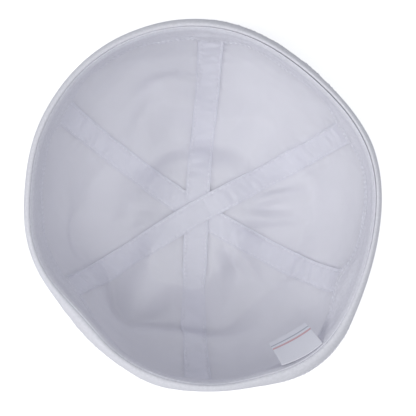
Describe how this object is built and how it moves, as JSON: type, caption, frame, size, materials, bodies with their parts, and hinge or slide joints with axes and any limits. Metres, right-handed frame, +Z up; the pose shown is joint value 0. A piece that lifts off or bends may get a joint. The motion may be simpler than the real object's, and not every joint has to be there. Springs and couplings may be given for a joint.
{
  "type": "sailor hat",
  "caption": "Soft white cotton sailor hat with a gored, taped crown, a sweatband and a turned-up brim, lying on its crown with the opening up.",
  "frame": {"origin": "the middle of the hat on the surface that it lies on, under the middle of its flattened crown", "axes": "+Z up, out of the opening; +Y roughly along the hat's long axis, front to back; +X across it"},
  "size_m": [0.2022, 0.2202, 0.0959],
  "materials": {
    "white_twill": "matt white cotton twill, single cloth on the crown and doubled on the brim",
    "white_tape": "smooth white cotton seam tape with two rows of stitching",
    "white_sweatband": "matt white cotton twill band, stitched along its lower edge",
    "white_label": "smooth white woven label with plain pale stripes"
  },
  "bodies": {
    "root": {"crown_gore_1": "white_twill", "crown_gore_2": "white_twill", "crown_gore_3": "white_twill", "crown_gore_4": "white_twill", "crown_gore_5": "white_twill", "crown_gore_6": "white_twill", "brim": "white_twill", "seam_tape_1": "white_tape", "seam_tape_2": "white_tape", "seam_tape_3": "white_tape", "seam_tape_4": "white_tape", "seam_tape_long": "white_tape", "sweatband": "white_sweatband", "label": "white_label"}
  },
  "joints": []
}
